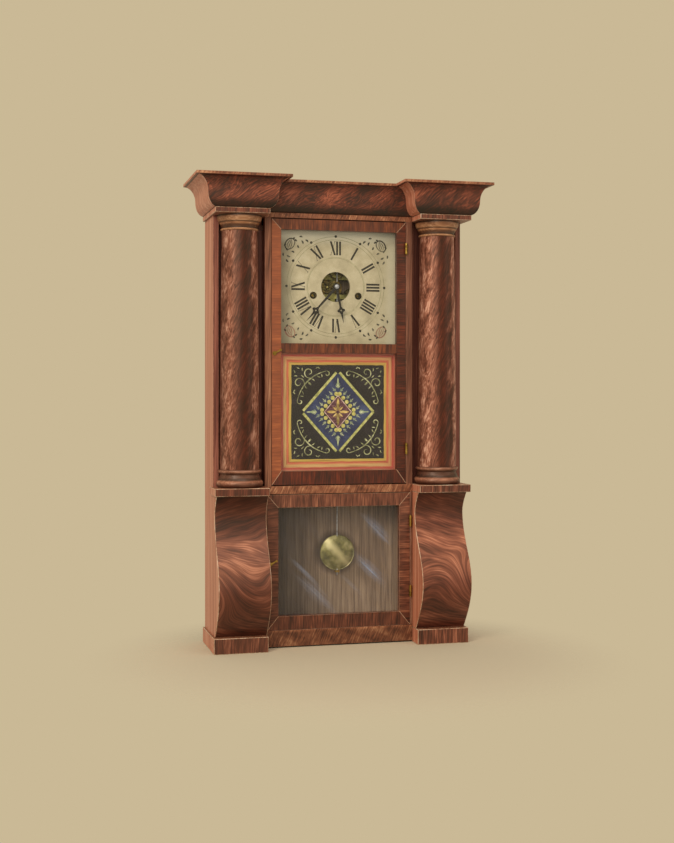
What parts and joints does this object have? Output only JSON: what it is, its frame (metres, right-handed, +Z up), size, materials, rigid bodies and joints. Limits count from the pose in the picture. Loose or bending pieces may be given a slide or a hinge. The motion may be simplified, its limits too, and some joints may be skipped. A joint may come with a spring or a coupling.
{
  "type": "shelf clock",
  "caption": "Tall wooden shelf clock with columns over scroll feet, a block cornice, two glazed doors, a painted dial and a weight-driven strap-brass movement with pendulum and gong.",
  "frame": {"origin": "centre of the bounding box in plan, on the surface that the clock stands on", "axes": "+Z up the clock's height, +X to the right as seen from the front, +Y from the front towards the back"},
  "size_m": [0.542, 0.167, 0.838],
  "materials": {
    "veneer": "figured mahogany veneer, polished",
    "capital_wood": "turned wood under worn gilding",
    "inner_wood": "bare softwood, aged",
    "clear_glass": "old clear window glass",
    "painted_glass": "glass painted on the back, opaque",
    "brass": "aged brass",
    "dial_paint": "cream paint, matt, aged",
    "blackened_steel": "blued-black steel",
    "steel": "drawn steel",
    "cast_iron": "raw casting",
    "cord": "twisted linen cord"
  },
  "bodies": {
    "case": {"case_sides": "veneer", "backboard": "inner_wood", "end_boards": "inner_wood", "partitions": "veneer", "niche_panels": "veneer", "front_rails": "veneer", "plinth_blocks": "veneer", "scrolls": "veneer", "column_slabs": "veneer", "column_bases": "veneer", "column_shafts": "veneer", "column_capitals": "capital_wood", "cornice_blocks": "veneer", "cornice_centre": "veneer", "cap_board": "veneer", "inner_rails": "inner_wood", "fixed_leaves": "brass", "dial": "dial_paint", "winding_bushes": "brass", "front_plate": "brass", "back_plate": "brass", "movement_pillars": "brass", "gong": "steel", "cord_runs": "cord", "cord_fall_left": "cord", "cord_fall_right": "cord"},
    "upper_door": {"upper_door_frame": "veneer", "dial_glass": "clear_glass", "tablet_glass": "painted_glass", "upper_door_leaves": "brass"},
    "upper_latch": {"upper_latch": "brass"},
    "lower_door": {"lower_door_frame": "veneer", "pendulum_glass": "clear_glass", "lower_door_leaves": "brass"},
    "lower_latch": {"lower_latch": "brass"},
    "minutes": {"minute_hand": "blackened_steel", "cannon_pinion": "brass"},
    "motion_wheel": {"minute_wheel": "brass"},
    "hours": {"hour_hand": "blackened_steel", "hour_wheel": "brass"},
    "third_arbor": {"third_wheel": "brass"},
    "centre_arbor": {"centre_wheel": "brass"},
    "time_great": {"time_great_wheel": "brass"},
    "escape_arbor": {"escape_wheel": "brass"},
    "pendulum": {"pendulum_rod": "steel"},
    "verge": {"verge": "steel"},
    "bob": {"pendulum_bob": "brass"},
    "nut": {"rating_nut": "brass"},
    "pin_arbor": {"pin_wheel": "brass"},
    "strike_great": {"strike_great_wheel": "brass"},
    "fly_arbor": {"fly": "brass"},
    "hammer": {"hammer": "brass"},
    "weight_left": {"weight_left": "cast_iron"},
    "weight_right": {"weight_right": "cast_iron"},
    "time_drum": {"time_drum": "brass"},
    "strike_drum": {"strike_drum": "brass"},
    "top_pulley_left": {"top_pulley_left": "inner_wood"},
    "top_pulley_right": {"top_pulley_right": "inner_wood"},
    "weight_pulley_left": {"weight_pulley_left": "brass"},
    "weight_pulley_right": {"weight_pulley_right": "brass"}
  },
  "joints": [
    {"name": "upper_door_hinge", "type": "hinge", "parent": "case", "child": "upper_door", "pos_m": [0.1256, -0.0142, 0.53], "axis": [0, 0, 1], "range_deg": [0, 105]},
    {"name": "upper_latch_turn", "type": "hinge", "parent": "upper_door", "child": "upper_latch", "pos_m": [-0.1204, -0.0025, 0.528], "axis": [0, 1, 0], "range_deg": [0, 90]},
    {"name": "lower_door_hinge", "type": "hinge", "parent": "case", "child": "lower_door", "pos_m": [0.1336, -0.0142, 0.153], "axis": [0, 0, 1], "range_deg": [0, 92]},
    {"name": "lower_latch_turn", "type": "hinge", "parent": "lower_door", "child": "lower_latch", "pos_m": [-0.1284, -0.0025, 0.1502], "axis": [0, 1, 0], "range_deg": [0, 90]},
    {"name": "minute_turn", "type": "hinge", "parent": "case", "child": "minutes", "pos_m": [0, 0.0185, 0.651], "axis": [0, 1, 0], "continuous": true},
    {"name": "minute_wheel_turn", "type": "hinge", "parent": "case", "child": "motion_wheel", "pos_m": [-0.0144, 0.0265, 0.651], "axis": [0, 1, 0], "continuous": true},
    {"name": "hour_turn", "type": "hinge", "parent": "case", "child": "hours", "pos_m": [0, 0.0185, 0.651], "axis": [0, 1, 0], "continuous": true},
    {"name": "third_turn", "type": "hinge", "parent": "case", "child": "third_arbor", "pos_m": [-0.00643, 0.0545, 0.67162], "axis": [0, 1, 0], "continuous": true},
    {"name": "centre_turn", "type": "hinge", "parent": "case", "child": "centre_arbor", "pos_m": [0, 0.0495, 0.651], "axis": [0, 1, 0], "continuous": true},
    {"name": "great_turn", "type": "hinge", "parent": "case", "child": "time_great", "pos_m": [0.0425, 0.0635, 0.635], "axis": [0, 1, 0], "continuous": true},
    {"name": "escape_turn", "type": "hinge", "parent": "case", "child": "escape_arbor", "pos_m": [0.0065, 0.0485, 0.68187], "axis": [0, 1, 0], "continuous": true},
    {"name": "pendulum_swing", "type": "hinge", "parent": "case", "child": "pendulum", "pos_m": [0.0065, 0.0325, 0.709], "axis": [0, 1, 0], "range_deg": [-2, 2]},
    {"name": "verge_rock", "type": "hinge", "parent": "case", "child": "verge", "pos_m": [0.0065, 0.0365, 0.703], "axis": [0, 1, 0], "range_deg": [-2.6, 2.6]},
    {"name": "bob_slide", "type": "slide", "parent": "pendulum", "child": "bob", "axis": [0, 0, 1], "range_m": [-0.004, 0.004]},
    {"name": "nut_turn", "type": "hinge", "parent": "bob", "child": "nut", "pos_m": [0.0065, 0.0325, 0.13], "axis": [0, 0, 1], "range_deg": [-2100, 2100]},
    {"name": "pin_wheel_turn", "type": "hinge", "parent": "case", "child": "pin_arbor", "pos_m": [-0.02966, 0.0585, 0.67029], "axis": [0, 1, 0], "continuous": true},
    {"name": "strike_great_turn", "type": "hinge", "parent": "case", "child": "strike_great", "pos_m": [-0.0425, 0.0635, 0.635], "axis": [0, 1, 0], "continuous": true},
    {"name": "fly_turn", "type": "hinge", "parent": "case", "child": "fly_arbor", "pos_m": [-0.03901, 0.0505, 0.68648], "axis": [0, 1, 0], "continuous": true},
    {"name": "hammer_lift", "type": "hinge", "parent": "case", "child": "hammer", "pos_m": [-0.05995, 0.0555, 0.69], "axis": [0, 1, 0], "range_deg": [0, 9]},
    {"name": "weight_left_slide", "type": "slide", "parent": "case", "child": "weight_left", "axis": [0, 0, 1], "range_m": [0, 0.445], "deforming": ["cord_fall_left"]},
    {"name": "strike_drum_turn", "type": "hinge", "parent": "case", "child": "strike_drum", "pos_m": [-0.0425, 0.0505, 0.635], "axis": [0, 1, 0], "range_deg": [-5735, 0]},
    {"name": "top_pulley_left_turn", "type": "hinge", "parent": "case", "child": "top_pulley_left", "pos_m": [-0.1529, 0.051, 0.7605], "axis": [0, 1, 0], "range_deg": [0, 3839]},
    {"name": "weight_pulley_left_turn", "type": "hinge", "parent": "weight_left", "child": "weight_pulley_left", "pos_m": [-0.1795, 0.051, 0.2403], "axis": [0, 1, 0], "range_deg": [-1922, 0]},
    {"name": "weight_right_slide", "type": "slide", "parent": "case", "child": "weight_right", "axis": [0, 0, 1], "range_m": [0, 0.445], "deforming": ["cord_fall_right"]},
    {"name": "time_drum_turn", "type": "hinge", "parent": "case", "child": "time_drum", "pos_m": [0.0425, 0.0505, 0.635], "axis": [0, 1, 0], "range_deg": [0, 5735]},
    {"name": "top_pulley_right_turn", "type": "hinge", "parent": "case", "child": "top_pulley_right", "pos_m": [0.1529, 0.051, 0.7605], "axis": [0, 1, 0], "range_deg": [-3839, 0]},
    {"name": "weight_pulley_right_turn", "type": "hinge", "parent": "weight_right", "child": "weight_pulley_right", "pos_m": [0.1795, 0.051, 0.2403], "axis": [0, 1, 0], "range_deg": [0, 1922]}
  ],
  "couplings": [
    {"joint": "minute_wheel_turn", "follows": "minute_turn", "ratio": -0.33333},
    {"joint": "hour_turn", "follows": "minute_turn", "ratio": 0.083333},
    {"joint": "centre_turn", "follows": "third_turn", "ratio": -0.125},
    {"joint": "great_turn", "follows": "third_turn", "ratio": 0.010417},
    {"joint": "escape_turn", "follows": "third_turn", "ratio": -7.25},
    {"joint": "verge_rock", "follows": "pendulum_swing", "ratio": 1.1818},
    {"joint": "nut_turn", "follows": "bob_slide", "rad_per_m": 8976},
    {"joint": "strike_great_turn", "follows": "pin_wheel_turn", "ratio": -0.10256},
    {"joint": "fly_turn", "follows": "pin_wheel_turn", "ratio": -7.5},
    {"joint": "strike_drum_turn", "follows": "weight_left_slide", "rad_per_m": -224.72},
    {"joint": "top_pulley_left_turn", "follows": "weight_left_slide", "rad_per_m": 150.38},
    {"joint": "weight_pulley_left_turn", "follows": "weight_left_slide", "rad_per_m": -75.188},
    {"joint": "time_drum_turn", "follows": "weight_right_slide", "rad_per_m": 224.72},
    {"joint": "top_pulley_right_turn", "follows": "weight_right_slide", "rad_per_m": -150.38},
    {"joint": "weight_pulley_right_turn", "follows": "weight_right_slide", "rad_per_m": 75.188}
  ]
}
